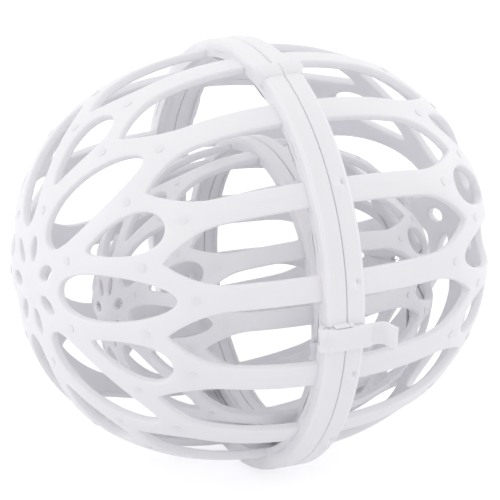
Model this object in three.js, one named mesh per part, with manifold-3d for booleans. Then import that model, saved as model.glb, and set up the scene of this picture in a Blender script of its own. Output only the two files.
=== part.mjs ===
// Delicates wash ball: a hinged lattice cage with a clasp, and a smaller cage of its build loose inside.
// Millimetres, +Z up. X runs through the poles, the clasps face -Y and the hinges +Y.
// Angles round the X axis count from the clasp (-Y) upwards.
import * as THREE from "three";
import { mergeVertices } from "three/addons/utils/BufferGeometryUtils.js";
import Module from "manifold-3d";

const wasm = await Module();
wasm.setup();

// Counts shared by both balls
const PETALS = 7; // large holes round each pole, one for every second strap
const PETAL_POINTS = 14;
const LEAF_POINTS = 10;
const SLOT_POINTS = 6;
const ARCH_STEPS = 5;
const STRAP_STEPS = 4;
const WEDGE_STEPS = 9;

// Clearances shared by both balls
const PARTING_GAP = 0.3; // between the two closed rims
const RUNNING_GAP = 0.3; // round pins and between knuckles
const SWING_GAP = 0.4; // between a part that swings and what it passes
const SEAT_GAP = 0.45; // under the inner ball where it lies in the outer one

// How full the pole end of an oval hole is against its other end
const PETAL_TAPER = 0.15;
const LEAF_TAPER = -0.5;
const ARCH_POINT = 0.85; // power of the arch's outline, 0.5 would be round
const RIM_ROOT = 2; // how far the dome runs into the rim
const LUG_SHARE = 0.34; // of the clasp's width that its lug takes
const NECK_ANGLE = 300; // way the lug's neck leaves the clasp's axis
const CLASP_SWEEP = 92; // room for the neck as the clasp swings
const NECK_SPREAD = 42; // half the angle that the neck takes up
const TURN = Math.PI * 2;
const PROFILE_STEPS = 400;

// The outer ball
const OUTER = {
  name: "outer",
  color: "#eeedf3",
  ringSides: 56, // facets of a rim, a whole number for each strap
  ringRadius: 80, // to the face of the raised front band
  bandRise: 1.2, // front band above the back of the rim
  bandSpan: 158, // degrees of the ring that the band covers
  bandWidth: 6.9,
  rimWidth: 7.5, // of one rim, from the parting plane
  rimChamfer: 1.4,
  halfLength: 87, // from the parting plane to the pole
  domeInset: 3.5, // from the back of the rim in to the dome
  domePower: 2.3, // 2 would be an ellipse, more is squarer
  wall: 3.2,
  strapWidth: 9.6,
  archApex: 68, // distances along a meridian, from the pole
  archRise: 22.5,
  petalStart: 21,
  petalEnd: 71.5,
  petalWidth: 17,
  leafStart: 39,
  leafEnd: 71,
  leafWidth: 13.2,
  slotStart: 9,
  slotEnd: 18.5,
  slotWidth: 5,
  knuckleLength: 6.7,
  barrelRadius: 3.6,
  hingePinRadius: 1.5,
  claspWidth: 8.6,
  claspPlate: 2,
  claspBarrelRadius: 3,
  claspPinRadius: 0.8,
  claspDipThickness: 1.1,
  claspStrap: 9.4, // from the parting plane to the end of the flat strap
  claspReach: 16, // and to the end of the thumb tab
};

// The inner ball
const INNER_PLAY = 15.1; // round its ring inside the outer rim
const INNER_END_PLAY = 21.3; // past its poles inside the outer dome
const INNER = {
  name: "inner",
  color: "#e9e8ef",
  ringSides: 42,
  ringRadius: layout(OUTER).innerRadius - INNER_PLAY,
  bandRise: 1,
  bandSpan: 130,
  bandWidth: 5.1,
  rimWidth: 5.6,
  rimChamfer: 1,
  halfLength: OUTER.halfLength - OUTER.wall - INNER_END_PLAY,
  domeInset: 2,
  domePower: 2.3,
  wall: 2.6,
  strapWidth: 7,
  archApex: 49,
  archRise: 16.2,
  petalStart: 15,
  petalEnd: 51.5,
  petalWidth: 12.4,
  leafStart: 28,
  leafEnd: 51,
  leafWidth: 9.4,
  slotStart: 6.5,
  slotEnd: 13.3,
  slotWidth: 3.6,
  knuckleLength: 5.2,
  barrelRadius: 2.8,
  hingePinRadius: 1.2,
  claspWidth: 6.8,
  claspPlate: 1.6,
  claspBarrelRadius: 2.4,
  claspPinRadius: 0.6,
  claspDipThickness: 0.9,
  claspStrap: 7.2,
  claspReach: 12.2,
};
const INNER_SHIFT = 6; // along X from the middle, as it lies in the outer ball

function mesh(name, geometry, color) {
  const material = new THREE.MeshStandardMaterial({ color, roughness: 0.45, metalness: 0 });
  const part = new THREE.Mesh(geometry, material);
  part.name = name;
  return part;
}

// A closed three.js geometry as a solid that can be joined and cut
function solid(geometry) {
  const bare = geometry.clone();
  bare.deleteAttribute("normal");
  bare.deleteAttribute("uv");
  const merged = mergeVertices(bare, 1e-4);
  return new wasm.Manifold(new wasm.Mesh({
    numProp: 3,
    vertProperties: Float32Array.from(merged.attributes.position.array),
    triVerts: Uint32Array.from(merged.index.array),
  }));
}

function geometryOf(body) {
  const { vertProperties, triVerts, numProp } = body.getMesh();
  const geometry = new THREE.BufferGeometry();
  geometry.setAttribute("position", new THREE.BufferAttribute(Float32Array.from(vertProperties), numProp));
  geometry.setIndex(new THREE.BufferAttribute(Uint32Array.from(triVerts), 1));
  geometry.computeVertexNormals();
  return geometry;
}

// An outline in the XY plane drawn out along Z between two heights
function prism(shape, low, high, curveSegments = 12) {
  const geometry = new THREE.ExtrudeGeometry(shape, { depth: high - low, bevelEnabled: false, curveSegments });
  return geometry.translate(0, 0, low);
}

function polygon(points) {
  return new THREE.Shape(points.map(([x, y]) => new THREE.Vector2(x, y)));
}

function roundBar(x, y, radius, low, high, sides = 16) {
  const bar = new THREE.CylinderGeometry(radius, radius, high - low, sides);
  return bar.rotateX(Math.PI / 2).translate(x, y, (low + high) / 2);
}

// The meridian of a dome from pole to rim: distance along it, height along X, radius and outward normal
function meridian(ball) {
  const power = 2 / ball.domePower;
  const { domeRadius } = layout(ball);
  const rows = [];
  for (let i = 0; i <= PROFILE_STEPS; i += 1) {
    const angle = (Math.PI / 2) * (i / PROFILE_STEPS);
    const x = ball.halfLength * Math.max(Math.cos(angle), 0) ** power;
    const r = domeRadius * Math.sin(angle) ** power;
    const last = rows[i - 1];
    const along = last ? last.along + Math.hypot(x - last.x, r - last.r) : 0;
    const nx = (x / ball.halfLength) ** (ball.domePower - 1) / ball.halfLength;
    const nr = (r / domeRadius) ** (ball.domePower - 1) / domeRadius;
    const size = Math.hypot(nx, nr);
    rows.push({ along, x, r, nx: nx / size, nr: nr / size });
  }
  const find = (key, value, rising) => {
    const i = rows.findIndex((row) => (rising ? row[key] >= value : row[key] <= value));
    const b = rows[Math.max(i, 1)];
    const a = rows[Math.max(i, 1) - 1];
    const share = (value - a[key]) / (b[key] - a[key]);
    const mix = (name) => a[name] + (b[name] - a[name]) * share;
    return { along: mix("along"), x: mix("x"), r: mix("r"), nx: mix("nx"), nr: mix("nr") };
  };
  return {
    at: (along) => find("along", along, true),
    whereX: (x) => find("x", x, false),
  };
}

// A point of the flat map of a dome: distance from the pole along the meridian, and angle round it
function mapPoint(along, angle) {
  return new THREE.Vector2(along * Math.cos(angle), along * Math.sin(angle));
}

// An egg-shaped hole on a meridian; taper moves its widest place towards the pole
function oval(line, start, end, width, taper, angle, count) {
  const middle = (start + end) / 2;
  const half = (end - start) / 2;
  const points = [];
  for (let i = 0; i < count; i += 1) {
    const turn = TURN * (i / count);
    const along = middle - half * Math.cos(turn);
    const aside = (width / 2) * Math.sin(turn) * (1 + taper * Math.cos(turn));
    points.push(mapPoint(along, angle + aside / line.at(along).r));
  }
  return points;
}

// The opening between two straps: a pointed arch over straight sides, ending inside the rim
function arch(ball, line, angle) {
  const pitch = TURN / (2 * PETALS);
  const end = line.whereX(ball.rimWidth - RIM_ROOT / 2).along;
  const spring = ball.archApex + ball.archRise;
  const halfAngle = (along) => pitch / 2 - ball.strapWidth / 2 / line.at(along).r;
  const side = [];
  for (let i = 1; i <= ARCH_STEPS; i += 1) {
    const share = (i / ARCH_STEPS) ** 2;
    const along = ball.archApex + ball.archRise * share;
    side.push([along, halfAngle(along) * (1 - (1 - share) ** 2) ** ARCH_POINT]);
  }
  for (let i = 1; i <= STRAP_STEPS; i += 1) {
    const along = spring + (end - spring) * (i / STRAP_STEPS);
    side.push([along, halfAngle(along)]);
  }
  const right = side.map(([along, spread]) => mapPoint(along, angle + spread));
  const left = side.map(([along, spread]) => mapPoint(along, angle - spread));
  return [mapPoint(ball.archApex, angle), ...right, ...left.reverse()];
}

// Swaps the shared side of two faces for the other diagonal wherever that is shorter and inside both
function shortenDiagonals(faces, flat, distance) {
  const crosses = (a, b, c) => (flat[b].x - flat[a].x) * (flat[c].y - flat[a].y)
    - (flat[b].y - flat[a].y) * (flat[c].x - flat[a].x) > 1e-6;
  let changed = true;
  while (changed) {
    changed = false;
    const owners = new Map();
    faces.forEach((face, f) => face.forEach((v, i) => {
      owners.set(`${v},${face[(i + 1) % 3]}`, [f, face[(i + 2) % 3]]);
    }));
    const used = new Set();
    for (const [key, [f, c]] of owners) {
      const [a, b] = key.split(",").map(Number);
      const [g, d] = owners.get(`${b},${a}`) ?? [];
      const free = g !== undefined && !used.has(f) && !used.has(g);
      if (free && crosses(c, d, b) && crosses(d, c, a) && distance(c, d) < distance(a, b) - 1e-6) {
        faces[f] = [a, d, c];
        faces[g] = [d, b, c];
        used.add(f).add(g);
        changed = true;
      }
    }
  }
  return faces;
}

// The pierced dome of one half, pole towards +X: an outer and an inner skin joined round every edge.
// The halves mirror each other, so the one that is turned over has its petals on the other straps.
function lattice(ball, turnedOver) {
  const line = meridian(ball);
  const pitch = TURN / (2 * PETALS);
  const edge = line.whereX(ball.rimWidth - RIM_ROOT).along;
  const contour = [];
  for (let i = 0; i < ball.ringSides; i += 1) {
    contour.push(mapPoint(edge, TURN * ((i + 0.5) / ball.ringSides)));
  }
  const holes = [];
  for (let k = 0; k < 2 * PETALS; k += 1) {
    const strap = (k - 0.5) * pitch;
    if ((k % 2 === 0) === turnedOver) {
      holes.push(oval(line, ball.petalStart, ball.petalEnd, ball.petalWidth, PETAL_TAPER, strap, PETAL_POINTS));
    } else {
      holes.push(oval(line, ball.leafStart, ball.leafEnd, ball.leafWidth, LEAF_TAPER, strap, LEAF_POINTS));
      holes.push(oval(line, ball.slotStart, ball.slotEnd, ball.slotWidth, 0, strap, SLOT_POINTS));
    }
    holes.push(arch(ball, line, k * pitch));
  }
  const loops = [contour, ...holes.map((hole) => (THREE.ShapeUtils.isClockWise(hole) ? hole : hole.reverse()))];
  const flat = loops.flat();
  const skin = (depth) => flat.map((point) => {
    const at = line.at(point.length());
    const turn = Math.atan2(point.y, point.x);
    const r = at.r - at.nr * depth;
    return new THREE.Vector3(at.x - at.nx * depth, -r * Math.cos(turn), r * Math.sin(turn));
  });
  const outside = skin(0);
  const inside = skin(ball.wall);
  const distance = (a, b) => outside[a].distanceTo(outside[b]);
  const faces = shortenDiagonals(THREE.ShapeUtils.triangulateShape(contour, loops.slice(1)), flat, distance);
  const count = flat.length;
  const index = faces.flatMap(([a, b, c]) => [a, c, b, a + count, b + count, c + count]);
  let first = 0;
  for (const loop of loops) {
    for (let i = 0; i < loop.length; i += 1) {
      const a = first + i;
      const b = first + ((i + 1) % loop.length);
      index.push(a, b, b + count, a, b + count, a + count);
    }
    first += loop.length;
  }
  const geometry = new THREE.BufferGeometry().setFromPoints([...outside, ...inside]);
  geometry.setIndex(index);
  return solid(geometry);
}

// Places that the rim, hinge and clasp of one ball share
function layout(ball) {
  const backRadius = ball.ringRadius - ball.bandRise;
  const domeRadius = backRadius - ball.domeInset;
  const innerRadius = domeRadius - ball.wall;
  const hingeY = backRadius + SWING_GAP + ball.barrelRadius;
  const claspX = -(ball.rimWidth + RUNNING_GAP);
  const claspY = -(ball.ringRadius + SWING_GAP + ball.claspPlate - ball.claspBarrelRadius);
  return {
    backRadius,
    domeRadius,
    innerRadius,
    rootRadius: (backRadius + innerRadius) / 2,
    hingeY,
    reach: hingeY + ball.barrelRadius,
    claspX,
    claspY,
    lugHalf: (ball.claspWidth * LUG_SHARE) / 2,
    lugRadius: ball.claspBarrelRadius - SWING_GAP * 2,
  };
}

// The rim of the half towards +X, with the raised band over its front
function rim(ball) {
  const { backRadius, innerRadius, rootRadius } = layout(ball);
  const low = PARTING_GAP / 2;
  const profile = [
    [innerRadius, low],
    [backRadius, low],
    [backRadius, ball.rimWidth - ball.rimChamfer],
    [backRadius - ball.rimChamfer, ball.rimWidth],
    [innerRadius, ball.rimWidth],
    [innerRadius, low],
  ].map(([r, x]) => new THREE.Vector2(r, x));
  const ring = new THREE.LatheGeometry(profile, ball.ringSides, Math.PI / ball.ringSides)
    .rotateZ(-Math.PI / 2);
  const half = THREE.MathUtils.degToRad(ball.bandSpan / 2);
  const front = new THREE.Shape();
  front.absarc(0, 0, ball.ringRadius, Math.PI - half, Math.PI + half, false);
  front.absarc(0, 0, rootRadius, Math.PI + half, Math.PI - half, true);
  const upright = new THREE.Matrix4().makeBasis(
    new THREE.Vector3(0, 1, 0), new THREE.Vector3(0, 0, 1), new THREE.Vector3(1, 0, 0));
  const band = prism(front, low, low + ball.bandWidth, ball.ringSides / 2).applyMatrix4(upright);
  return solid(ring).add(solid(band));
}

// The two knuckles of the half towards +X; turned half round Y they mesh with its twin's
function knuckles(ball) {
  const { hingeY, backRadius, rootRadius } = layout(ball);
  const pitch = ball.knuckleLength + RUNNING_GAP;
  const web = polygon([
    [PARTING_GAP, rootRadius],
    [ball.rimWidth, rootRadius],
    [ball.rimWidth, backRadius - ball.rimChamfer],
    [ball.barrelRadius * Math.cos(Math.PI / 6), hingeY + ball.barrelRadius / 2],
    [PARTING_GAP, hingeY],
  ]);
  let body;
  for (const slot of [-1, 1]) {
    const low = slot * pitch + RUNNING_GAP / 2;
    const high = low + ball.knuckleLength;
    const one = solid(roundBar(0, hingeY, ball.barrelRadius, low, high)).add(solid(prism(web, low, high)));
    body = body ? body.add(one) : one;
  }
  return body;
}

function half(ball, turnedOver) {
  const { hingeY } = layout(ball);
  const pinReach = 2 * (ball.knuckleLength + RUNNING_GAP);
  const pinHole = solid(roundBar(0, hingeY, ball.hingePinRadius + RUNNING_GAP, -2 * pinReach, 2 * pinReach));
  return lattice(ball, turnedOver).add(rim(ball)).add(knuckles(ball)).subtract(pinHole);
}

// A wedge round the clasp's axis, angles counted from +X outwards
function wedge(x, y, radius, from, to) {
  const points = [[x, y]];
  for (let i = 0; i <= WEDGE_STEPS; i += 1) {
    const turn = THREE.MathUtils.degToRad(from + (to - from) * (i / WEDGE_STEPS));
    points.push([x + radius * Math.cos(turn), y - radius * Math.sin(turn)]);
  }
  return polygon(points);
}

// The left half carries the lug that the clasp turns on, in a notch of its rim
function leftHalf(ball) {
  const { claspX, claspY, lugHalf, lugRadius } = layout(ball);
  const notchHalf = ball.claspWidth / 2 + SWING_GAP;
  const notch = solid(roundBar(claspX, claspY, ball.claspBarrelRadius + SWING_GAP, -notchHalf, notchHalf));
  const turn = THREE.MathUtils.degToRad(NECK_ANGLE);
  const along = new THREE.Vector2(Math.cos(turn), -Math.sin(turn)).multiplyScalar(ball.claspBarrelRadius * 2);
  const across = new THREE.Vector2(-along.y, along.x).setLength(lugRadius * 0.6);
  const neck = polygon([
    [claspX + across.x, claspY + across.y],
    [claspX - across.x, claspY - across.y],
    [claspX + along.x - across.x, claspY + along.y - across.y],
    [claspX + along.x + across.x, claspY + along.y + across.y],
  ]);
  const lug = solid(roundBar(claspX, claspY, lugRadius, -lugHalf, lugHalf))
    .add(solid(prism(neck, -lugHalf, lugHalf)));
  const hole = solid(roundBar(claspX, claspY, ball.claspPinRadius + RUNNING_GAP, -notchHalf, notchHalf));
  const turned = half(ball, true).rotate([0, 180, 0]);
  return turned.subtract(notch).add(lug).subtract(hole);
}

// The clasp: a barrel on the left rim, a strap over both rims, a dip past the right one and a thumb tab;
// the tab comes out as far as the hinge does at the back
function clasp(ball) {
  const { claspX, claspY, lugHalf, lugRadius, reach } = layout(ball);
  const inside = -(ball.ringRadius + SWING_GAP);
  const outside = inside - ball.claspPlate;
  const dip = inside - ball.claspDipThickness;
  const dipX = (ball.claspStrap + ball.claspReach) / 2;
  const tip = ball.claspReach;
  const barrelTurn = Math.acos((claspY - inside) / ball.claspBarrelRadius);
  const outline = new THREE.Shape();
  outline.moveTo(claspX, outside);
  outline.lineTo(ball.claspStrap - ball.claspPlate, outside);
  outline.quadraticCurveTo(ball.claspStrap, outside, ball.claspStrap, dip);
  outline.lineTo(dipX, dip);
  outline.quadraticCurveTo(tip - ball.claspPlate, dip, tip - ball.claspPlate, -reach);
  outline.lineTo(tip, -reach);
  outline.quadraticCurveTo(tip, inside, dipX, inside);
  outline.lineTo(claspX + ball.claspBarrelRadius * Math.sin(barrelTurn), inside);
  outline.absarc(claspX, claspY, ball.claspBarrelRadius, barrelTurn - Math.PI / 2, -Math.PI / 2, false);
  const body = solid(prism(outline, -ball.claspWidth / 2, ball.claspWidth / 2, 8));
  const slotHalf = lugHalf + RUNNING_GAP;
  const slot = solid(roundBar(claspX, claspY, lugRadius + RUNNING_GAP, -slotHalf, slotHalf));
  const from = NECK_ANGLE - CLASP_SWEEP - NECK_SPREAD;
  const gate = wedge(claspX, claspY, ball.claspBarrelRadius * 1.5, from, NECK_ANGLE + NECK_SPREAD);
  const boreRadius = ball.claspPinRadius + RUNNING_GAP;
  const hole = solid(roundBar(claspX, claspY, boreRadius, -ball.claspWidth, ball.claspWidth));
  return body.subtract(slot).subtract(solid(prism(gate, -slotHalf, slotHalf))).subtract(hole);
}

function makeBall(ball) {
  const { hingeY, claspX, claspY } = layout(ball);
  const pinHalf = 2 * (ball.knuckleLength + RUNNING_GAP) - RUNNING_GAP / 2;
  const claspHalf = ball.claspWidth / 2 - RUNNING_GAP;
  const claspPin = roundBar(claspX, claspY, ball.claspPinRadius, -claspHalf, claspHalf);
  const group = new THREE.Group();
  group.add(
    mesh(`${ball.name}_left_half`, geometryOf(leftHalf(ball)), ball.color),
    mesh(`${ball.name}_right_half`, geometryOf(half(ball, false)), ball.color),
    mesh(`${ball.name}_hinge_pin`, roundBar(0, hingeY, ball.hingePinRadius, -pinHalf, pinHalf), ball.color),
    mesh(`${ball.name}_clasp`, geometryOf(clasp(ball)), ball.color),
    mesh(`${ball.name}_clasp_pin`, claspPin, ball.color),
  );
  return group;
}

// The inner ball lies with its rims on the inner face of the outer rims and of the straps beside them
function innerDrop() {
  const edge = meridian(OUTER).whereX(INNER_SHIFT + INNER.rimWidth - INNER.rimChamfer);
  const seat = (edge.r - edge.nr * OUTER.wall) * Math.cos(Math.PI / OUTER.ringSides);
  return seat - layout(INNER).backRadius * Math.cos(Math.PI / INNER.ringSides) - SEAT_GAP;
}

const washBall = new THREE.Group();
const innerBall = makeBall(INNER);
innerBall.position.set(INNER_SHIFT, 0, -innerDrop());
washBall.add(makeBall(OUTER), innerBall);

export default washBall;
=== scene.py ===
# Delicates wash ball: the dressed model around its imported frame.
# Sizes are in millimetres until a mesh is made.
import math
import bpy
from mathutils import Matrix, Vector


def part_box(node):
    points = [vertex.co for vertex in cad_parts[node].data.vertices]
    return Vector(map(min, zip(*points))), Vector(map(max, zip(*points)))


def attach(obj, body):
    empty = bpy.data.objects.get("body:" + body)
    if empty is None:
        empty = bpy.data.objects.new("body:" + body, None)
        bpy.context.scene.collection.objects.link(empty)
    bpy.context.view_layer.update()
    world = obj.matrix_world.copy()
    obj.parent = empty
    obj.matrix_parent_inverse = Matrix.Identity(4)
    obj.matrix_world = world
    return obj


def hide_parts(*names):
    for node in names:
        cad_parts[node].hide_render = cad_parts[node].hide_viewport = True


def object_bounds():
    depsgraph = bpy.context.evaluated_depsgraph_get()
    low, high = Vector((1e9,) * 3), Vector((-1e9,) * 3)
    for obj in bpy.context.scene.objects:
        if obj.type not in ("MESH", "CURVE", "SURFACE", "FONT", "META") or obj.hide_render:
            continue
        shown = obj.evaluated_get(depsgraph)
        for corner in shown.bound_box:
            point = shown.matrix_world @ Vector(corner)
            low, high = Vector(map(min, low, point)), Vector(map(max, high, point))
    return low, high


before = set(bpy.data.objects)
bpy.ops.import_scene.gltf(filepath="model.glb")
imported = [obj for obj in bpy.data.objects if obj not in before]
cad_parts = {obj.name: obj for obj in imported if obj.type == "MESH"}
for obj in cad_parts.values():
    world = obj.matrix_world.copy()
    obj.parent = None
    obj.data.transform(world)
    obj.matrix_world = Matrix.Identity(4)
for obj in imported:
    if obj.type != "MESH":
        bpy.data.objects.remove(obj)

from types import SimpleNamespace

import bmesh
import bpy
from mathutils import Matrix, Vector
from mathutils.geometry import delaunay_2d_cdt
from mathutils.kdtree import KDTree

CAD_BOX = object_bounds()
MM = 0.001
TURN = math.tau
HALF_TURN = Matrix.Rotation(math.pi, 4, "Y")
PETALS = 7
PITCH = TURN / (2 * PETALS)  # from strap to strap, in radians

# Clearances
PARTING = 0.1  # from each closed rim to the plane between them
RUNNING = 0.3  # round pins and between knuckles
SWING = 0.4  # between a part that swings and what it passes
NOTCH_SIDE = 0.15  # share of the swing's clearance beside the clasp's barrel in its notch
NOTCH_ROUND = 0.4  # and round it

# petal, leaf and slot: start and end of the hole along the face from the pole, and its width
# lip: length along the band, rise over it and overhang past the rim's side
# band_half and sinks: degrees round the ring, counted from the clasp upwards
OUTER = SimpleNamespace(
    name="outer", ring=80.0, rim_width=7.5, half_length=87.0, dome_inset=3.5, dome_power=2.3, wall=3.2,
    band_rise=1.2, band_half=79.0, band_width=7.2, band_bevel=1.1, lip=(6.5, 1.3, 1.0),
    front_groove=0.6, back_groove=1.3, back_round=1.5, front_steps=330, back_steps=140,
    petal=(21.0, 71.5, 17.0), leaf=(39.0, 71.0, 13.2), slot=(9.0, 18.5, 5.0), edge_round=0.8,
    strap=9.6, arch_apex=68.0, arch_rise=22.5, mark=1.5, sinks=(-38.57, -12.86, 12.86, 38.57),
    knuckle=6.7, barrel=3.6, hinge_pin=1.5, clasp_width=8.6, clasp_plate=2.0, clasp_barrel=3.0,
    clasp_pin=0.8, clasp_dip=1.1, clasp_strap=9.4, clasp_reach=16.0)
INNER = SimpleNamespace(
    name="inner", ring=57.0, rim_width=5.6, half_length=62.5, dome_inset=2.0, dome_power=2.3, wall=2.6,
    band_rise=1.0, band_half=65.0, band_width=5.3, band_bevel=0.7, lip=(4.2, 0.7, 0.5),
    front_groove=0.3, back_groove=0.9, back_round=1.1, front_steps=110, back_steps=110,
    petal=(15.0, 51.5, 12.4), leaf=(28.0, 51.0, 9.4), slot=(6.5, 13.3, 3.6), edge_round=0.65,
    strap=7.0, arch_apex=49.0, arch_rise=16.2, mark=1.1, sinks=(),
    knuckle=5.2, barrel=2.8, hinge_pin=1.2, clasp_width=6.8, clasp_plate=1.6, clasp_barrel=2.4,
    clasp_pin=0.6, clasp_dip=0.9, clasp_strap=7.2, clasp_reach=12.2)

# The lattice of both balls
PETAL_TAPER = 0.15  # how full the pole end of an oval hole is against its other end
LEAF_TAPER = -0.5
ARCH_POINT = 0.85  # power of the arch's outline, 0.5 would be round
RIM_ROOT = 2.0  # how far the dome runs into the rim
MARK_TIP = 0.885  # place of an ejector mark before an arch, as a share of the way to the arch's tip
MARK_STRAP = 1.15  # and of one on a strap
MARK_DEPTH = 0.5  # half of it stands over the face

# The rim's section
SMALL_ROUND = 0.3  # radius of its small corners
BORE_ROUND = 0.4  # of its inner corner at the parting, and of the side corner behind
ROOT_ROUND = 0.6  # of its inner corner under the straps
BAND_ROUND = 0.5  # where the band's bevel meets its face
BAND_FOOT = (0.25, 0.05)  # where the bevel starts: past the band's width, and over the rim behind
FACE_FALL = 0.3  # from the radius of the rim behind to the outer end of the rim's side
BACK_CORNER = 0.3  # share of the back's rounding by which its middle corner is drawn in
BAND_DROP = 0.35  # degrees in which each end of the band drops to the rim behind
ON_FACE = 0.01  # depth to which a point counts as on the band's face

# A strap's sink mark on the band: a swelling, and a pit beside and above it
SINK_SWELL = SimpleNamespace(rise=1.8, x=2.6, up=0.0, wide=1.2, tall=1.8)
SINK_PIT = SimpleNamespace(rise=-1.8, x=4.6, up=1.8, wide=0.75, tall=0.9)

# The lip over the band's upper end
LIP_FOOT = 0.1  # radius of its corners inside the rim
LIP_NOSE = 0.4  # and of its outer corner
LIP_SINK = 0.1  # how far under the band's face it starts
LIP_FULL = 0.6  # share of its length, towards its end, that stands in full
LIP_CHAMFER = 0.3  # round its end
LIP_PAST = 0.2  # from the band's end to its own

# The small ledges above the clasp
LEDGE_RIGHT = 0.22  # share of the rim's width that the right one takes
LEDGE_LEFT = 0.74  # and the left one
LEDGE_DROP = 0.3  # from the clasp's face to theirs
LEDGE_ROOT = 2.0  # how far they reach into the ring
LEDGE_THICK = 1.0
FINE_EDGE = 0.2  # rounding of their edges and of the lug's

# The web that carries a hinge knuckle
WEB_START = 0.6  # from the parting plane
WEB_INSET = 0.4  # from the rim's side
WEB_SINK = 1.0  # of its outer corner under the rim's face
WEB_ANGLE = 30  # degrees round the barrel where it ends
KNUCKLE_EDGE = 0.35

# The clasp and its lug; angles are in degrees
LUG_SHARE = 0.34  # of the clasp's width that its lug takes
NECK_ANGLE = 300.0  # way the lug's neck leaves the clasp's axis
NECK_SPREAD = 42.0  # half the angle that the neck takes up
NECK_LENGTH = 1.6  # from the axis, in radii of the clasp's barrel
NECK_HALF = 0.6  # half the neck's width, in radii of the lug
CLASP_SWEEP = 92.0  # room for the neck as the clasp swings
GATE_REACH = 1.5  # of that room, in radii of the barrel
SHOULDER = 1.5  # radius of the clasp's left end, in radii of the barrel
SHOULDER_SHIFT = 0.2  # share of that radius by which its middle lies right of the axis
SHOULDER_START = 212  # where the left end's arc begins
BARREL_END = 165  # where the barrel's arc ends
BARREL_STEPS = 30  # along that arc
DIP_SHARE = 0.55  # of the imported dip's thickness
FLARE = 0.7  # of the plate's thickness, by which the tab comes out further than the hinge
TAB_SHARE = 0.6  # of the plate's thickness that the tab has
CLASP_EDGE = 0.3

# How finely the meshes are drawn
DOME_ROWS = 800  # from the pole to the parting plane
SHEET_STEP = 3.2  # spacing of the points inside the lattice's skin
SHEET_CLEAR = SHEET_STEP * 0.6  # and their least distance from its lines
EDGE_STEP = 1.7  # spacing of the points along its holes
STRAIGHT_STEP = EDGE_STEP * 1.5  # and along the straight sides of its straps
OVAL_SIDE = 1.25  # an oval's side is about this much longer than the oval
OVAL_LEAST = 6  # steps along it
ARCH_SIDE = 1.3  # an arch's side is about this much longer than its rise
EDGE_TURNS = (0, 30, 60, 90)  # degrees of a hole's rounded edge, from its wall to the face
RIM_SPOTS = 32  # steps along the rim for each petal
ROUND_STEPS = 4  # along each rounded corner of a section
FACE_STEPS = 14  # across the rim's outer face
PIN_SIDES = 20  # of the holes for the clasps' pins
MARK_SIDES = 16
SHARP_ANGLE = 42  # degrees past which an edge shades as sharp
MERGE = 1e-4  # distance within which points of the flat lattice are one
SEAM_TURN = 1e-6  # radians within which a point lies on a petal's seam
SEAM = 0.05  # distance within which the petals are sewn together
WELD = 0.002  # and a plate's own points

# The plastic
FLOW_MARK = 25.0  # across
GRAINS = 0.65  # of the mould's skin to a millimetre, far coarser than the real ones so that they can show

# The studio; places and lamp sizes are in metres
FLOOR_HALF = 4.0
FLOOR_DROP = 0.5  # millimetres from the ball's lowest point
SKY_BEHIND = 1.04  # light from beyond the ball
SKY_FRONT = 0.87  # and from the camera's side
LAMPS = (("key_softbox", (-1.0, -0.5, 1.1), 0.5, 0.3),  # name, place, size and watts
         ("side_softbox", (-1.3, 0.3, 0.5), 0.8, 1.6),
         ("far_softbox", (1.3, 0.2, 0.5), 0.8, 1.4))
CAMERA_BACK = (-0.40524, -0.82247, 0.39915)  # from the ball towards the camera
CAMERA_UP = (0.13671, 0.37719, 0.91599)
CAMERA_DISTANCE = 20.3  # in radii of the outer ring
PHOTO_PIXELS = 500
FOCAL_PIXELS = 4438
SHIFT_PIXELS = 0.92


def settle(ball):
    """Work out the places that follow from a ball's sizes and from its packed hinge pin."""
    ball.back = ball.ring - ball.band_rise
    ball.dome = ball.back - ball.dome_inset
    ball.inside = ball.dome - ball.wall
    ball.root = (ball.back + ball.inside) / 2
    ball.hinge_y = ball.back + SWING + ball.barrel
    ball.reach = ball.hinge_y + ball.barrel
    ball.clasp_x = -(ball.rim_width + RUNNING)
    ball.clasp_y = -(ball.ring + SWING + ball.clasp_plate - ball.clasp_barrel)
    ball.lug_half = ball.clasp_width * LUG_SHARE / 2
    ball.lug = ball.clasp_barrel - 2 * SWING
    low, high = (Vector(corner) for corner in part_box(f"{ball.name}_hinge_pin"))
    middle = (low + high) / 2
    ball.centre = Vector((middle.x, 0, middle.z))


def linear(code):
    """An sRGB hex colour as linear RGBA."""
    parts = (int(code[i:i + 2], 16) / 255 for i in (1, 3, 5))
    return (*(p / 12.92 if p <= 0.04045 else ((p + 0.055) / 1.055) ** 2.4 for p in parts), 1.0)


def add_node(tree, kind, links=(), inputs=(), **settings):
    """Add one node with its settings, fixed inputs and incoming links."""
    item = tree.nodes.new(kind)
    for key, value in settings.items():
        setattr(item, key, value)
    for key, value in dict(inputs).items():
        item.inputs[key].default_value = value
    for key, source in dict(links).items():
        tree.links.new(source, item.inputs[key])
    return item


def bare_tree(holder):
    """The emptied node tree of a new material or world."""
    holder.use_nodes = True
    holder.node_tree.nodes.clear()
    return holder.node_tree


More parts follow.
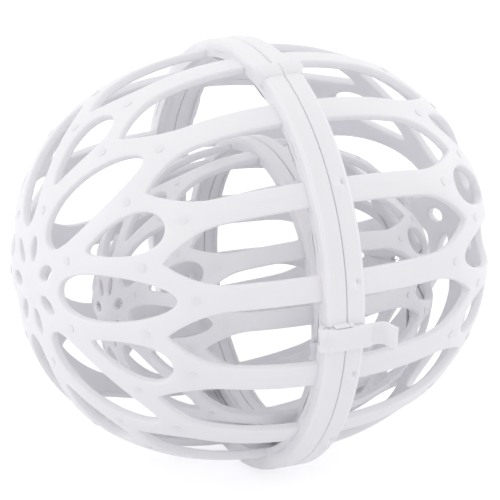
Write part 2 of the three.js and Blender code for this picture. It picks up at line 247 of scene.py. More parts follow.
def white_polypropylene():
    """Injection-moulded white polypropylene: waxy, slightly translucent, with a satin skin off the mould."""
    material = bpy.data.materials.new("white_polypropylene_moulded")
    tree = bare_tree(material)
    place = add_node(tree, "ShaderNodeTexCoord")
    flow = add_node(tree, "ShaderNodeTexNoise", {"Vector": place.outputs["Object"]},
                    {"Scale": 1 / (FLOW_MARK * MM), "Detail": 2.0})
    grain = add_node(tree, "ShaderNodeTexNoise", {"Vector": place.outputs["Object"]},
                     {"Scale": GRAINS / MM, "Detail": 1.0})
    tint = add_node(tree, "ShaderNodeMix", {"Factor": flow.outputs["Fac"]},
                    {"A": linear("#f0eff3"), "B": linear("#f6f5f8")}, data_type="RGBA")
    gloss = add_node(tree, "ShaderNodeMapRange", {"Value": flow.outputs["Fac"]},
                     {"From Min": 0.3, "From Max": 0.7, "To Min": 0.30, "To Max": 0.42})
    bump = add_node(tree, "ShaderNodeBump", {"Height": grain.outputs["Fac"]},
                    {"Strength": 0.05, "Distance": 0.0002})
    skin = add_node(tree, "ShaderNodeBsdfPrincipled", {
        "Base Color": tint.outputs["Result"],
        "Roughness": gloss.outputs["Result"],
        "Normal": bump.outputs["Normal"],
    }, {
        "IOR": 1.49,
        "Subsurface Weight": 0.12,
        "Subsurface Radius": (1.0, 0.97, 0.95),
        "Subsurface Scale": 0.002,
    })
    add_node(tree, "ShaderNodeOutputMaterial", {"Surface": skin.outputs["BSDF"]})
    return material


class Dome:
    """The outer face of one half: a squared ellipse turned about X, pole towards +X."""

    def __init__(self, ball):
        self.rows = []  # way along the face from the pole, x, radius, and the normal's x and radial parts
        power = 2 / ball.dome_power
        along = 0.0
        for i in range(DOME_ROWS + 1):
            turn = math.pi / 2 * i / DOME_ROWS
            x = ball.half_length * max(math.cos(turn), 0.0) ** power
            r = ball.dome * math.sin(turn) ** power
            if self.rows:
                along += math.hypot(x - self.rows[-1][1], r - self.rows[-1][2])
            nx = (x / ball.half_length) ** (ball.dome_power - 1) / ball.half_length
            nr = (r / ball.dome) ** (ball.dome_power - 1) / ball.dome
            size = math.hypot(nx, nr)
            self.rows.append((along, x, r, nx / size, nr / size))

    def _find(self, column, value, sign):
        """The row at a column's value, read between its two neighbours; sign is -1 where the column falls."""
        low, high = 0, len(self.rows) - 1
        while high - low > 1:
            middle = (low + high) // 2
            if sign * self.rows[middle][column] <= sign * value:
                low = middle
            else:
                high = middle
        a, b = self.rows[low], self.rows[high]
        share = (value - a[column]) / (b[column] - a[column])
        return [p + (q - p) * share for p, q in zip(a, b)]

    def radius(self, along):
        return self._find(0, along, 1)[2]

    def along_at(self, x):
        return self._find(1, x, -1)[0]

    def place(self, along, angle, depth=0.0):
        _, x, r, nx, nr = self._find(0, along, 1)
        r -= nr * depth
        return Vector((x - nx * depth, -r * math.cos(angle), r * math.sin(angle)))

    def normal(self, along, angle):
        _, _, _, nx, nr = self._find(0, along, 1)
        return Vector((nx, -nr * math.cos(angle), nr * math.sin(angle)))


def oval_side(dome, size, taper, angle, first, last):
    """Points of an egg-shaped hole on a meridian, between two turns counted from its pole end."""
    start, end, width = size
    count = max(OVAL_LEAST, round(abs(last - first) / math.pi * (end - start) * OVAL_SIDE / EDGE_STEP))
    points = []
    for i in range(count + 1):
        turn = first + (last - first) * i / count
        along = (start + end) / 2 - (end - start) / 2 * math.cos(turn)
        aside = width / 2 * math.sin(turn) * (1 + taper * math.cos(turn))
        points.append((along, angle + aside / dome.radius(along)))
    return points


def arch_loop(ball, dome, angle):
    """The opening between two straps: a pointed arch over straight sides, ending inside the rim."""
    end = dome.along_at(ball.rim_width - RIM_ROOT / 2)
    spring = ball.arch_apex + ball.arch_rise
    side = []
    steps = round(ball.arch_rise * ARCH_SIDE / EDGE_STEP)
    for i in range(1, steps + 1):
        share = (i / steps) ** 2
        side.append((ball.arch_apex + ball.arch_rise * share, (1 - (1 - share) ** 2) ** ARCH_POINT))
    steps = round((end - spring) / STRAIGHT_STEP)
    for i in range(1, steps + 1):
        side.append((spring + (end - spring) * i / steps, 1.0))
    spread = [(along, share * (PITCH / 2 - ball.strap / 2 / dome.radius(along))) for along, share in side]
    return ([(ball.arch_apex, angle)] + [(along, angle + s) for along, s in spread]
            + [(along, angle - s) for along, s in reversed(spread)])


def grow(dome, loop, distance, mirror=None):
    """A hole's outline moved into the material; an open half ends on the meridian given as mirror."""
    moved = []
    for i, (along, angle) in enumerate(loop):
        before = loop[i - 1]
        after = loop[(i + 1) % len(loop)]
        if mirror is not None and i == 0:
            before = (loop[1][0], 2 * mirror - loop[1][1])
        if mirror is not None and i == len(loop) - 1:
            after = (loop[-2][0], 2 * mirror - loop[-2][1])
        radius = dome.radius(along)
        rise = after[0] - before[0]
        aside = (after[1] - before[1]) * radius
        size = math.hypot(rise, aside)
        moved.append((along - distance * aside / size, angle + distance * rise / size / radius))
    return moved


def edge_rings(ball, dome, loop, mirror=None):
    """A hole's outline and the rings that round the edge beside it, each with its depth below the face."""
    rings = []
    for degrees in EDGE_TURNS:
        turn = math.radians(degrees)
        shift = ball.edge_round * (1 - math.cos(turn))
        depth = ball.edge_round * (1 - math.sin(turn))
        rings.append([(*spot, depth) for spot in grow(dome, loop, shift, mirror)])
    return rings


def stretch(start, end, angle):
    """Points of the face along a meridian."""
    count = max(2, round((end - start) / SHEET_STEP))
    return [(start + (end - start) * i / count, angle, 0.0) for i in range(count + 1)]


def past_hole(rings):
    """A meridian's way past half a hole: down its near edge, along its wall and up its far edge."""
    return [ring[0] for ring in rings[-2:0:-1]] + rings[0] + [ring[-1] for ring in rings[1:-1]]


def mirrored(line):
    """A line's points on the other side of the petal's meridian."""
    return [(along, -angle, depth) for along, angle, depth in line]


def flatten(loop):
    """The flat map of a dome: distance from the pole along the meridian, and angle round it."""
    return [(spot[0] * math.cos(spot[1]), spot[0] * math.sin(spot[1])) for spot in loop]


def within(point, loop):
    """Whether a flat point lies inside a closed flat outline."""
    x, y = point
    hit = False
    for (ax, ay), (bx, by) in zip(loop, loop[1:] + loop[:1]):
        if (ay > y) != (by > y) and x < (bx - ax) * (y - ay) / (by - ay) + ax:
            hit = not hit
    return hit


def in_material(point, border, holes):
    """Whether a flat point lies inside the border and in none of the holes."""
    return within(point, border) and not any(within(point, hole) for hole in holes)


def sector_lines(ball, dome, edge):
    """One petal's share of the lattice, from leaf to leaf: its closed lines, its open ones and its holes."""
    slot = edge_rings(ball, dome, oval_side(dome, ball.slot, 0.0, -PITCH, 0.0, math.pi), -PITCH)
    leaf = edge_rings(ball, dome, oval_side(dome, ball.leaf, LEAF_TAPER, -PITCH, 0.0, math.pi), -PITCH)
    ray = stretch(0.0, slot[-1][0][0], -PITCH) + past_hole(slot)
    ray += stretch(slot[-1][-1][0], leaf[-1][0][0], -PITCH) + past_hole(leaf)
    ray += stretch(leaf[-1][-1][0], edge, -PITCH)
    contour = [(edge, -PITCH + 2 * PITCH * i / RIM_SPOTS, 0.0) for i in range(1, RIM_SPOTS)]
    outline = ray + contour + mirrored(reversed(ray[1:]))
    petal = edge_rings(ball, dome, oval_side(dome, ball.petal, PETAL_TAPER, 0.0, 0.0, TURN)[:-1])
    arches = [edge_rings(ball, dome, arch_loop(ball, dome, side * PITCH / 2)) for side in (-1, 1)]
    closed = [outline] + petal + arches[0] + arches[1]
    near = slot[1:] + leaf[1:]
    return closed, near + [mirrored(ring) for ring in near], [petal[0], arches[0][0], arches[1][0]]


def scatter(dome, places, edge, border, holes):
    """Points of the face between the lines and clear of them."""
    near = KDTree(len(places))
    for i, spot in enumerate(places):
        near.insert(dome.place(*spot), i)
    near.balance()
    spots = []
    for i in range(1, int(edge / SHEET_STEP)):
        along = SHEET_STEP * (i + 0.5)
        count = max(1, round(2 * PITCH * dome.radius(along) / SHEET_STEP))
        for j in range(count):
            spot = (along, -PITCH + 2 * PITCH * (j + 0.5) / count, 0.0)
            clear = near.find(dome.place(*spot))[2] > SHEET_CLEAR
            if clear and in_material(flatten([spot])[0], border, holes):
                spots.append(spot)
    return spots


def walled(ball, dome, where, triangles):
    """A skin of triangles and its inner face, joined by walls along the holes and the rim."""
    mesh = bmesh.new()
    face = [mesh.verts.new(dome.place(along, angle, depth) * MM) for along, angle, depth in where]
    back = [mesh.verts.new(dome.place(along, angle, ball.wall - depth) * MM) for along, angle, depth in where]
    sides = {}
    for order in triangles:
        mesh.faces.new([face[i] for i in order])
        mesh.faces.new([back[i] for i in reversed(order)])
        for u, v in zip(order, order[1:] + order[:1]):
            sides[(u, v)] = True
    for u, v in sides:
        on_seam = all(abs(abs(where[i][1]) - PITCH) < SEAM_TURN for i in (u, v))
        if (v, u) not in sides and not on_seam:
            mesh.faces.new((face[v], face[u], back[u], back[v]))
    bmesh.ops.delete(mesh, geom=[v for v in mesh.verts if not v.link_faces], context="VERTS")
    return mesh


def petal_sector(ball, dome):
    """One petal's share of the lattice as a mesh, with the petal hole and two arches."""
    edge = dome.along_at(ball.rim_width - RIM_ROOT)
    closed, opened, walls = sector_lines(ball, dome, edge)
    places, edges = [], []
    for loop, whole in [(loop, True) for loop in closed] + [(ring, False) for ring in opened]:
        first = len(places)
        places += loop
        edges += [(first + i, first + i + 1) for i in range(len(loop) - 1)]
        if whole:
            edges.append((first + len(loop) - 1, first))
    border = flatten(closed[0])
    holes = [flatten(loop) for loop in walls]
    places += scatter(dome, places, edge, border, holes)
    flat = [Vector(point) for point in flatten(places)]
    corners, _, faces, origin, _, _ = delaunay_2d_cdt(flat, edges, [], 0, MERGE)
    where = [places[source[0]] if source else (corner.length, math.atan2(corner.y, corner.x), 0.0)
             for corner, source in zip(corners, origin)]
    triangles = []
    for a, b, c in faces:
        middle = sum((corners[i] for i in (a, b, c)), Vector((0, 0))) / 3
        if in_material(middle, border, holes):
            turned = (corners[b] - corners[a]).cross(corners[c] - corners[a]) > 0
            triangles.append((a, c, b) if turned else (a, b, c))
    return walled(ball, dome, where, triangles)


def to_object(name, mesh):
    """A linked object from a bmesh."""
    data = bpy.data.meshes.new(name)
    mesh.to_mesh(data)
    mesh.free()
    made = bpy.data.objects.new(name, data)
    bpy.context.scene.collection.objects.link(made)
    return made


def baked(made):
    """The object's evaluated mesh as a bmesh; the object itself is removed."""
    bpy.context.view_layer.update()
    graph = bpy.context.evaluated_depsgraph_get()
    data = bpy.data.meshes.new_from_object(made.evaluated_get(graph))
    mesh = bmesh.new()
    mesh.from_mesh(data)
    bpy.data.objects.remove(made)
    return mesh


def sized_tree(name, sizes):
    """An empty Geometry Nodes tree that takes a geometry and named sizes, and gives a geometry."""
    tree = bpy.data.node_groups.new(name, "GeometryNodeTree")
    tree.interface.new_socket("Geometry", in_out="INPUT", socket_type="NodeSocketGeometry")
    for label, kind in sizes.items():
        tree.interface.new_socket(label, in_out="INPUT", socket_type=kind)
    tree.interface.new_socket("Geometry", in_out="OUTPUT", socket_type="NodeSocketGeometry")
    return tree


def petal_ring_tree(material):
    """Geometry Nodes: turn one petal's sheet round the pole axis and join the copies along their seams."""
    tree = sized_tree("petal_ring", {"Petals": "NodeSocketInt", "Seam": "NodeSocketFloat"})
    start = add_node(tree, "NodeGroupInput")
    spots = add_node(tree, "GeometryNodePoints", {"Count": start.outputs["Petals"]})
    index = add_node(tree, "GeometryNodeInputIndex")
    step = add_node(tree, "ShaderNodeMath", {1: start.outputs["Petals"]}, {0: TURN}, operation="DIVIDE")
    angle = add_node(tree, "ShaderNodeMath", {0: index.outputs["Index"], 1: step.outputs[0]},
                     operation="MULTIPLY")
    turn = add_node(tree, "ShaderNodeCombineXYZ", {"X": angle.outputs[0]})
    copies = add_node(tree, "GeometryNodeInstanceOnPoints", {
        "Points": spots.outputs[0], "Instance": start.outputs["Geometry"], "Rotation": turn.outputs[0]})
    real = add_node(tree, "GeometryNodeRealizeInstances", {"Geometry": copies.outputs[0]})
    sewn = add_node(tree, "GeometryNodeMergeByDistance", {
        "Geometry": real.outputs[0], "Distance": start.outputs["Seam"]})
    dressed = add_node(tree, "GeometryNodeSetMaterial", {"Geometry": sewn.outputs[0]}, {"Material": material})
    add_node(tree, "NodeGroupOutput", {"Geometry": dressed.outputs[0]})
    return tree


def mark_tree(material):
    """Geometry Nodes: a low round ejector mark on each point, facing along the point's own normal."""
    tree = sized_tree("ejector_marks", {"Radius": "NodeSocketFloat", "Height": "NodeSocketFloat"})
    start = add_node(tree, "NodeGroupInput")
    facing = add_node(tree, "GeometryNodeInputNamedAttribute", inputs={"Name": "facing"},
                      data_type="FLOAT_VECTOR")
    turn = add_node(tree, "FunctionNodeAlignRotationToVector", {"Vector": facing.outputs["Attribute"]},
                    axis="Z")
    disc = add_node(tree, "GeometryNodeMeshCylinder", {
        "Radius": start.outputs["Radius"], "Depth": start.outputs["Height"]}, {"Vertices": MARK_SIDES})
    copies = add_node(tree, "GeometryNodeInstanceOnPoints", {
        "Points": start.outputs["Geometry"], "Instance": disc.outputs["Mesh"], "Rotation": turn.outputs[0]})
    real = add_node(tree, "GeometryNodeRealizeInstances", {"Geometry": copies.outputs[0]})
    dressed = add_node(tree, "GeometryNodeSetMaterial", {"Geometry": real.outputs[0]}, {"Material": material})
    add_node(tree, "NodeGroupOutput", {"Geometry": dressed.outputs[0]})
    return tree


def with_tree(made, tree, values):
    """Put a node tree on an object and set its named inputs by their identifiers."""
    modifier = made.modifiers.new(tree.name, "NODES")
    modifier.node_group = tree
    for item in tree.interface.items_tree:
        if item.in_out == "INPUT" and item.name in values:
            modifier[item.identifier] = values[item.name]
    return made


def lattice(ball, dome, trees, turned_over):
    """The pierced dome of the half towards +X; the half that is turned over has its petals one strap on."""
    sector = petal_sector(ball, dome)
    turn = PITCH / 2 if turned_over else -PITCH / 2
    bmesh.ops.rotate(sector, verts=sector.verts, cent=(0, 0, 0), matrix=Matrix.Rotation(turn, 3, "X"))
    sheet = with_tree(to_object("lattice", sector), trees["petals"], {"Petals": PETALS, "Seam": SEAM * MM})
    return baked(sheet)


def marks(ball, dome, trees, turned_over):
    """Ejector marks over each arch, between the petals' inner ends and on the straps."""
    spots = []
    for k in range(2 * PETALS):
        spots.append((ball.arch_apex * MARK_TIP, k * PITCH))
        spots.append((ball.arch_apex * MARK_STRAP, (k - 0.5) * PITCH))
        if (k % 2 == 1) == turned_over:
            spots.append(((ball.slot[1] + ball.leaf[0]) / 2, (k - 0.5) * PITCH))
    mesh = bmesh.new()
    facing = mesh.verts.layers.float_vector.new("facing")
    for along, angle in spots:
        vert = mesh.verts.new(dome.place(along, angle) * MM)
        vert[facing] = dome.normal(along, angle)
    sizes = {"Radius": ball.mark * MM, "Height": MARK_DEPTH * MM}
    return baked(with_tree(to_object("marks", mesh), trees["marks"], sizes))


def rounded(corners):
    """A closed outline from corners (x, y, radius), each turned into an arc."""
    points = []
    for i, (x, y, radius) in enumerate(corners):
        here = Vector((x, y))
        before = (Vector(corners[i - 1][:2]) - here).normalized()
        after = (Vector(corners[(i + 1) % len(corners)][:2]) - here).normalized()
        half = before.angle(after) / 2
        start = here + before * radius / math.tan(half)
        end = here + after * radius / math.tan(half)
        middle = here + (before + after).normalized() * radius / math.sin(half)
        a, b = start - middle, end - middle
        for j in range(ROUND_STEPS + 1):
            points.append(middle + a.slerp(b, j / ROUND_STEPS) * radius)
    return points


def sweep(turns, closed):
    """Sections (x, r) set at angles round X and joined; an open run gets end faces."""
    mesh = bmesh.new()
    rings = []
    for degrees, section in turns:
        angle = math.radians(degrees)
        rings.append([mesh.verts.new(Vector((x, -r * math.cos(angle), r * math.sin(angle))) * MM)
                      for x, r in section])
    for a, b in zip(rings, rings[1:] + (rings[:1] if closed else [])):
        for i in range(len(a)):
            j = (i + 1) % len(a)
            mesh.faces.new((a[i], a[j], b[j], b[i]))
    if not closed:
        mesh.faces.new(rings[0])
        mesh.faces.new(rings[-1])
    bmesh.ops.recalc_face_normals(mesh, faces=mesh.faces)
    return mesh


def rim_section(ball, front):
    """The rim's outline from its inner face round to the parting line, with points across its outer face."""
    if front:
        past, over = BAND_FOOT
        outside = [(ball.rim_width, ball.back - FACE_FALL, SMALL_ROUND),
                   (ball.band_width + past, ball.back + over, SMALL_ROUND),
                   (ball.band_width - ball.band_bevel, ball.ring, BAND_ROUND),
                   (PARTING, ball.ring, ball.front_groove)]
    else:
        drawn_in = ball.back_round * BACK_CORNER
        outside = [(ball.rim_width, ball.back - ball.back_round, BORE_ROUND),
                   (ball.rim_width - drawn_in, ball.back - drawn_in, SMALL_ROUND),
                   (ball.rim_width - ball.back_round, ball.back, SMALL_ROUND),
                   (PARTING, ball.back, ball.back_groove)]
    bore = [(PARTING, ball.inside, BORE_ROUND), (ball.rim_width, ball.inside, ROOT_ROUND)]
    points = rounded(bore + outside)
    last = len(points) - ROUND_STEPS - 1
    face = [points[last - 1].lerp(points[last], i / FACE_STEPS) for i in range(1, FACE_STEPS)]
    return points[:last] + face + points[last:]


def sink_rise(ball, x, degrees):
    """How far the straps' sink marks lift or dent the band's face at one place."""
    rise = 0.0
    for strap in ball.sinks:
        up = math.radians(degrees - strap) * ball.ring
        for dent in (SINK_SWELL, SINK_PIT):
            rise += dent.rise * math.exp(-((x - dent.x) / dent.wide) ** 2 - ((up - dent.up) / dent.tall) ** 2)
    return rise


def rim(ball, turned_over):
    """The rim of the half towards +X: a raised bevelled band over the front, lower and grooved behind."""
    high, low = rim_section(ball, True), rim_section(ball, False)
    half = ball.band_half
    back = 360 - 2 * half - 2 * BAND_DROP
    marked = ball.sinks and not turned_over
    turns = []
    for i in range(ball.front_steps + 1):
        degrees = -half + 2 * half * i / ball.front_steps
        section = high
        if marked:
            section = [(x, r + sink_rise(ball, x, degrees) if r > ball.ring - ON_FACE else r)
                       for x, r in high]
        turns.append((degrees, section))
    turns += [(half + BAND_DROP + back * i / ball.back_steps, low) for i in range(ball.back_steps + 1)]
    return sweep(turns, True)


def band_lip(ball, turned_over):
    """The lip across the band's upper end, standing a little over its face and past its side."""
    length, rise, overhang = ball.lip
    side, top = ball.rim_width + overhang, ball.ring + rise
    full = rounded([(PARTING, ball.root, LIP_FOOT), (side, ball.root, LIP_FOOT),
                    (side, top, LIP_NOSE), (PARTING, top, SMALL_ROUND)])
    slim = [(x - LIP_CHAMFER if x > ball.rim_width else x, r - LIP_CHAMFER if r > ball.ring else r)
            for x, r in full]
    flat = [(min(x, ball.band_width), min(r, ball.ring - LIP_SINK)) for x, r in full]
    degree = math.degrees(1 / ball.ring)  # for each millimetre round the ring
    end = ball.band_half + LIP_PAST * degree
    turns = [(end - length * degree, flat), (end - length * LIP_FULL * degree, full),
             (end - LIP_CHAMFER * degree, full), (end, slim)]
    if turned_over:
        turns = [(-degrees, section) for degrees, section in turns]
    return sweep(turns, False)


def clasp_ledge(ball, first, last):
    """A small ledge across the rim just above the clasp, between two distances from the parting plane."""
    low = ball.clasp_width / 2 + RUNNING
    face = -(ball.ring + SWING + ball.clasp_plate - LEDGE_DROP)
    foot = LEDGE_ROOT - ball.ring
    outline = [(first, face), (last, face), (last, foot), (first, foot)]
    return plate([outline], low, low + LEDGE_THICK, FINE_EDGE)


def plate(outlines, low, high, edge):
    """Flat outlines in the XY plane, the later ones holes, drawn out along Z with rounded edges."""
    curve = bpy.data.curves.new("plate", "CURVE")
    curve.dimensions = "2D"
    curve.fill_mode = "BOTH"
    curve.extrude = ((high - low) / 2 - edge) * MM
    curve.bevel_depth = edge * MM
    curve.bevel_resolution = 2
    curve.offset = -edge * MM
    for outline in outlines:
        spline = curve.splines.new("POLY")
        spline.points.add(len(outline) - 1)
        spline.use_cyclic_u = True
        for point, (x, y) in zip(spline.points, outline):
            point.co = (x * MM, y * MM, 0, 1)
    made = bpy.data.objects.new("plate", curve)
    bpy.context.scene.collection.objects.link(made)
    mesh = baked(made)
    bmesh.ops.translate(mesh, verts=mesh.verts, vec=(0, 0, (low + high) / 2 * MM))
    bmesh.ops.remove_doubles(mesh, verts=mesh.verts, dist=WELD * MM)
    bmesh.ops.recalc_face_normals(mesh, faces=mesh.faces)
    return mesh


def circle(x, y, radius, count=32):
    """Points of a circle."""
    turns = [TURN * i / count for i in range(count)]
    return [(x + radius * math.cos(t), y + radius * math.sin(t)) for t in turns]


def arc(x, y, radius, first, last, count=24):
    """Points of an arc, angles in degrees."""
    turns = [math.radians(first + (last - first) * i / count) for i in range(count + 1)]
    return [(x + radius * math.cos(t), y + radius * math.sin(t)) for t in turns]


def bezier(a, b, c, count=12):
    """Points of a curve from a to c drawn towards b, without its first point."""
    points = []
    for i in range(1, count + 1):
        t = i / count
        points.append(tuple((1 - t) ** 2 * p + 2 * t * (1 - t) * q + t * t * r for p, q, r in zip(a, b, c)))
    return points


def knuckle(ball, low):
    """One hinge knuckle of the half towards +X with the web that carries it."""
    y = ball.hinge_y
    side = ball.rim_width - WEB_INSET
    foot = math.degrees(math.asin(WEB_START / ball.barrel))
    outline = [(WEB_START, ball.root), (side, ball.root), (side, ball.back - WEB_SINK)]
    outline += arc(0, y, ball.barrel, WEB_ANGLE, 270 + foot)
    return plate([outline, circle(0, y, ball.hinge_pin + RUNNING)], low, low + ball.knuckle, KNUCKLE_EDGE)


def clasp_lug(ball):
    """The lug on the left rim that carries the clasp's pin."""
    turn = math.radians(NECK_ANGLE)
    along = Vector((math.cos(turn), -math.sin(turn))) * ball.clasp_barrel * NECK_LENGTH
    across = Vector((-along.y, along.x)).normalized() * ball.lug * NECK_HALF
    centre = Vector((ball.clasp_x, ball.clasp_y))
    heading = math.degrees(math.atan2(along.y, along.x))
    spread = math.degrees(math.asin(NECK_HALF))
    outline = [tuple(centre + along - across), tuple(centre + along + across)]
    outline += arc(*centre, ball.lug, heading + spread, heading + 360 - spread)
    hole = circle(*centre, ball.clasp_pin + RUNNING, PIN_SIDES)
    return plate([outline, hole], -ball.lug_half, ball.lug_half, FINE_EDGE)


def clasp_outline(ball):
    """The clasp's outline: barrel on the left rim, strap over both rims, a dip past them and a thumb tab."""
    under = -(ball.ring + SWING)
    top = under - ball.clasp_plate
    dip = under - ball.clasp_dip * DIP_SHARE
    strap, tip = ball.clasp_strap, ball.clasp_reach
    middle = (strap + tip) / 2
    turn = math.degrees(math.acos((ball.clasp_y - under) / ball.clasp_barrel))
    shoulder = ball.clasp_barrel * SHOULDER
    flare = ball.reach + ball.clasp_plate * FLARE
    thin = ball.clasp_plate * TAB_SHARE
    outline = arc(ball.clasp_x + shoulder * SHOULDER_SHIFT, top + shoulder, shoulder, SHOULDER_START, 270)
    outline += [(strap - ball.clasp_plate, top)]
    outline += bezier(outline[-1], (strap, top), (strap, dip))
    # the dip and the tab, set out in the tab's own thickness
    outline += [(middle - thin, dip)]
    outline += bezier(outline[-1], (middle + thin * 0.3, dip), (middle + thin * 0.8, dip - thin * 1.2))
    outline += [(tip - thin * 0.7, -flare), (tip + thin * 0.3, thin * 0.3 - flare)]
    outline += [(middle + thin * 2.0, dip - thin * 1.0)]
    outline += bezier(outline[-1], (middle + thin * 1.3, under), (middle - thin, under))
    return outline + arc(ball.clasp_x, ball.clasp_y, ball.clasp_barrel, turn - 90, BARREL_END, BARREL_STEPS)


def clasp(ball):
    """The clasp, with room in its barrel for the lug and for the lug's neck as it swings."""
    half = ball.clasp_width / 2
    hole = circle(ball.clasp_x, ball.clasp_y, ball.clasp_pin + RUNNING, PIN_SIDES)
    body = plate([clasp_outline(ball), hole], -half, half, CLASP_EDGE)
    room = ball.lug_half + RUNNING
    first, last = NECK_ANGLE - CLASP_SWEEP - NECK_SPREAD, NECK_ANGLE + NECK_SPREAD
    gate = [(ball.clasp_x, ball.clasp_y)]
    gate += arc(ball.clasp_x, ball.clasp_y, ball.clasp_barrel * GATE_REACH, -last, -first)
    for outline in (circle(ball.clasp_x, ball.clasp_y, ball.lug + RUNNING), gate):
        body = cut(body, plate([outline], -room, room, 0.0))
    return body


def cut(mesh, tool):
    """One closed bmesh less another."""
    body, knife = to_object("body", mesh), to_object("knife", tool)
    step = body.modifiers.new("cut", "BOOLEAN")
    step.operation = "DIFFERENCE"
    step.solver = "EXACT"
    step.object = knife
    whole = baked(body)
    bpy.data.objects.remove(knife)
    return whole


def join(parts):
    """Several bmeshes as one."""
    whole = bmesh.new()
    for part in parts:
        data = bpy.data.meshes.new("part")
        part.to_mesh(data)
        part.free()
        whole.from_mesh(data)
        bpy.data.meshes.remove(data)
    return whole


def half_shell(ball, dome, trees, turned_over):
    """Everything that both halves have in their moulding, pole towards +X, and the left one's clasp notch."""
    pitch = ball.knuckle + RUNNING
    knuckles = [knuckle(ball, side * pitch + RUNNING / 2) for side in (-1, 1)]
    ring = rim(ball, turned_over)
    if turned_over:
        room = ball.clasp_width / 2 + SWING * NOTCH_SIDE
        notch = circle(-ball.clasp_x, ball.clasp_y, ball.clasp_barrel + SWING * NOTCH_ROUND)
        ring = cut(ring, plate([notch], -room, room, 0.0))
    return join([lattice(ball, dome, trees, turned_over), marks(ball, dome, trees, turned_over), ring,
                 band_lip(ball, turned_over)] + knuckles)


def finish_piece(name, mesh, ball, body, node, material):
    """Set a piece in its place, smooth it, dress it and hand it to the frame."""
    bmesh.ops.translate(mesh, verts=mesh.verts, vec=ball.centre)
    made = to_object(name, mesh)
    made.data.materials.clear()
    made.data.materials.append(material)
    for polygon in made.data.polygons:
        polygon.use_smooth = True
        polygon.material_index = 0
    made.data.set_sharp_from_angle(angle=math.radians(SHARP_ANGLE))
    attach(made, body)
    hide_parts(node)


def make_ball(ball, bodies, trees, material):
    """Both halves and the clasp of one ball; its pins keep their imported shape."""
    dome = Dome(ball)
    right = half_shell(ball, dome, trees, False)
    right = join([right, clasp_ledge(ball, PARTING, ball.rim_width * LEDGE_RIGHT)])
    left = half_shell(ball, dome, trees, True)
    bmesh.ops.transform(left, matrix=HALF_TURN, verts=left.verts)
    left = join([left, clasp_lug(ball), clasp_ledge(ball, -ball.rim_width * LEDGE_LEFT, -PARTING)])
    left_body, right_body, clasp_body = bodies
    name = ball.name
    finish_piece(f"{name}_left_lattice", left, ball, left_body, f"{name}_left_half", material)
    finish_piece(f"{name}_right_lattice", right, ball, right_body, f"{name}_right_half", material)
    finish_piece(f"{name}_clasp_strap", clasp(ball), ball, clasp_body, f"{name}_clasp", material)
    for pin in (f"{name}_hinge_pin", f"{name}_clasp_pin"):
        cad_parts[pin].data.materials.clear()
        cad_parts[pin].data.materials.append(material)


def sight_ray(tree):
    """One for the rays that show the backdrop: seen straight, in a reflection or through the object."""
    path = add_node(tree, "ShaderNodeLightPath")
    shown = add_node(tree, "ShaderNodeMath", {
        0: path.outputs["Is Camera Ray"], 1: path.outputs["Is Glossy Ray"]}, operation="MAXIMUM")
    seen = add_node(tree, "ShaderNodeMath", {
        0: shown.outputs[0], 1: path.outputs["Is Transmission Ray"]}, operation="MAXIMUM")
    return seen.outputs[0]


def floor_paint():
    """Matt white floor that reads as the bright backdrop wherever no shadow falls."""
    material = bpy.data.materials.new("studio_floor_matt_white")
    tree = bare_tree(material)
    paint = add_node(tree, "ShaderNodeBsdfDiffuse", inputs={"Color": linear("#f0f0f2")})
    shade = add_node(tree, "ShaderNodeBsdfDiffuse", inputs={"Color": linear("#b4b4b6")})
    glow = add_node(tree, "ShaderNodeEmission", inputs={"Color": linear("#dcdcde")})
    shown = add_node(tree, "ShaderNodeAddShader", {0: shade.outputs[0], 1: glow.outputs[0]})
    both = add_node(tree, "ShaderNodeMixShader", {
        "Fac": sight_ray(tree), 1: paint.outputs[0], 2: shown.outputs[0]})
    add_node(tree, "ShaderNodeOutputMaterial", {"Surface": both.outputs[0]})
    return material


def lay_floor():
    """The floor just under the ball."""
    ground = bmesh.new()
    bmesh.ops.create_grid(ground, x_segments=1, y_segments=1, size=FLOOR_HALF)
    bmesh.ops.translate(ground, verts=ground.verts, vec=(0, 0, CAD_BOX[0][2] - FLOOR_DROP * MM))
    floor = to_object("studio_floor", ground)
    floor.data.materials.append(floor_paint())


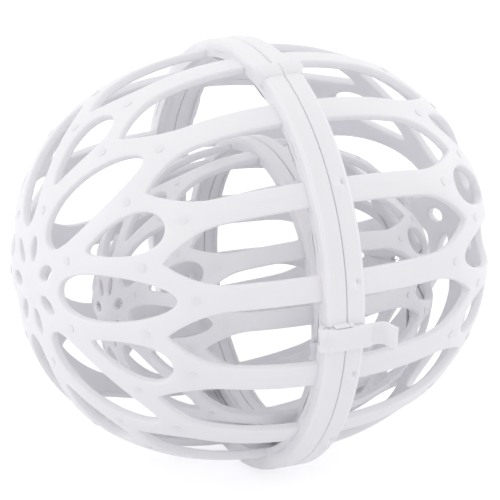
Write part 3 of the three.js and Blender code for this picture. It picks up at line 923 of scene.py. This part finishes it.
def light_sky():
    """An even white sky that lights the ball a little more from beyond than from the camera's side."""
    world = bpy.data.worlds.new("studio_sky")
    bpy.context.scene.world = world
    tree = bare_tree(world)
    place = add_node(tree, "ShaderNodeTexCoord")
    side = add_node(tree, "ShaderNodeVectorMath", {0: place.outputs["Generated"]}, {1: CAMERA_BACK},
                    operation="DOT_PRODUCT")
    around = add_node(tree, "ShaderNodeMapRange", {"Value": side.outputs["Value"]},
                      {"From Min": -1.0, "From Max": 1.0, "To Min": SKY_BEHIND, "To Max": SKY_FRONT})
    level = add_node(tree, "ShaderNodeMix", {
        "Factor": sight_ray(tree), "A": around.outputs["Result"]}, {"B": 1.0})
    sky = add_node(tree, "ShaderNodeBackground", {"Strength": level.outputs["Result"]},
                   {"Color": (1, 1, 1, 1)})
    add_node(tree, "ShaderNodeOutputWorld", {"Surface": sky.outputs[0]})


def hang_lamps():
    """Soft square lamps, each turned to the ball's middle."""
    for name, place, size, watts in LAMPS:
        lamp = bpy.data.lights.new(name, "AREA")
        lamp.size = size
        lamp.energy = watts
        holder = bpy.data.objects.new(name, lamp)
        holder.location = place
        holder.rotation_euler = (-Vector(place)).to_track_quat("-Z", "Y").to_euler()
        bpy.context.scene.collection.objects.link(holder)


def set_camera():
    """The photograph's camera: a long lens, a little above the ball and towards its left half."""
    distance = CAMERA_DISTANCE * OUTER.ring * MM
    back = Vector(CAMERA_BACK).normalized()
    right = Vector(CAMERA_UP).cross(back).normalized()
    lens = bpy.data.cameras.new("photo_camera")
    lens.sensor_width = 36.0
    lens.lens = FOCAL_PIXELS / PHOTO_PIXELS * lens.sensor_width
    lens.shift_y = SHIFT_PIXELS / PHOTO_PIXELS
    lens.clip_end = 50.0
    camera = bpy.data.objects.new("photo_camera", lens)
    turn = Matrix((right, back.cross(right), back)).transposed()
    camera.matrix_world = Matrix.Translation(back * distance) @ turn.to_4x4()
    bpy.context.scene.collection.objects.link(camera)
    bpy.context.scene.camera = camera
    bpy.context.scene.view_settings.view_transform = "Standard"


def build():
    """Both balls, then the studio round them."""
    for ball in (OUTER, INNER):
        settle(ball)
    plastic = white_polypropylene()
    trees = {"petals": petal_ring_tree(plastic), "marks": mark_tree(plastic)}
    make_ball(OUTER, ("left_cage", "right_cage", "cage_clasp"), trees, plastic)
    make_ball(INNER, ("ball_left", "ball_right", "ball_clasp"), trees, plastic)
    lay_floor()
    light_sky()
    hang_lamps()
    set_camera()


build()
